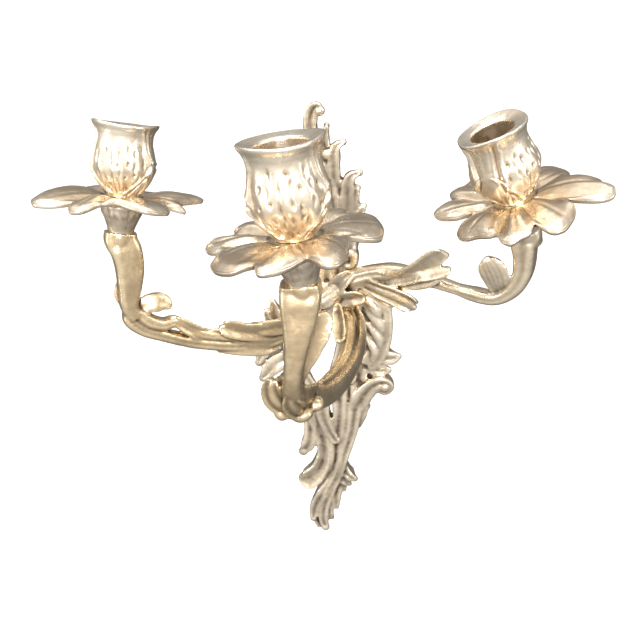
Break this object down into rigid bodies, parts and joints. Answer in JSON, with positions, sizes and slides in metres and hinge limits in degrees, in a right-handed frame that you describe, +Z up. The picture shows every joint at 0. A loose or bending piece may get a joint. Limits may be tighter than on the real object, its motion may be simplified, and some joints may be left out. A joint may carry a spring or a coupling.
{
  "type": "wall sconce candle holder",
  "caption": "Rococo leaf-work wall sconce in gilt brass: asymmetric scrolled backplate with curved arms, each with a petal drip pan and a tulip candle cup.",
  "frame": {"origin": "on the wall plane, midway between the two wall-screw holes", "axes": "+Z up, +Y into the wall, so the arms reach out along -Y; +X to the right seen from the room"},
  "size_m": [0.3087, 0.2093, 0.3542],
  "materials": {
    "backplate_bronze": "aged gilt with dark patina in the recesses, worn bright on the ridges",
    "arm_bronze": "warm aged gilt, satin, chased",
    "pan_bronze": "warm aged gilt, satin, slightly wavy",
    "cup_bronze": "gilt, coarsely chased, darker in the hollows",
    "stud_brass": "plain turned brass",
    "fixing_steel": "dull steel"
  },
  "bodies": {
    "root": {"backplate": "backplate_bronze", "left_arm": "arm_bronze", "left_calyx": "cup_bronze", "left_stud": "stud_brass", "left_arm_screw": "fixing_steel", "left_arm_washer": "fixing_steel", "centre_arm": "arm_bronze", "centre_calyx": "cup_bronze", "centre_stud": "stud_brass", "centre_arm_screw": "fixing_steel", "centre_arm_washer": "fixing_steel", "right_arm": "arm_bronze", "right_calyx": "cup_bronze", "right_stud": "stud_brass", "right_arm_screw": "fixing_steel", "right_arm_washer": "fixing_steel"},
    "left_pan": {"left_drip_pan": "pan_bronze"},
    "left_cup": {"left_candle_cup": "cup_bronze"},
    "centre_pan": {"centre_drip_pan": "pan_bronze"},
    "centre_cup": {"centre_candle_cup": "cup_bronze"},
    "right_pan": {"right_drip_pan": "pan_bronze"},
    "right_cup": {"right_candle_cup": "cup_bronze"}
  },
  "joints": [
    {"name": "left_pan_turn", "type": "hinge", "parent": "root", "child": "left_pan", "pos_m": [-0.11029, -0.06481, 0.11332], "axis": [0.259, 0.164, 0.9519], "continuous": true},
    {"name": "left_cup_turn", "type": "hinge", "parent": "root", "child": "left_cup", "pos_m": [-0.10434, -0.06104, 0.13521], "axis": [0.259, 0.164, 0.9519], "continuous": true},
    {"name": "centre_pan_turn", "type": "hinge", "parent": "root", "child": "centre_pan", "pos_m": [0.00431, -0.16993, 0.10782], "axis": [0.018, -0.022, 0.9996], "continuous": true},
    {"name": "centre_cup_turn", "type": "hinge", "parent": "root", "child": "centre_cup", "pos_m": [0.00472, -0.17044, 0.13081], "axis": [0.018, -0.022, 0.9996], "continuous": true},
    {"name": "right_pan_turn", "type": "hinge", "parent": "root", "child": "right_pan", "pos_m": [0.11331, -0.08032, 0.08703], "axis": [-0.2821, -0.1381, 0.9494], "continuous": true},
    {"name": "right_cup_turn", "type": "hinge", "parent": "root", "child": "right_cup", "pos_m": [0.10682, -0.0835, 0.10886], "axis": [-0.2821, -0.1381, 0.9494], "continuous": true}
  ]
}
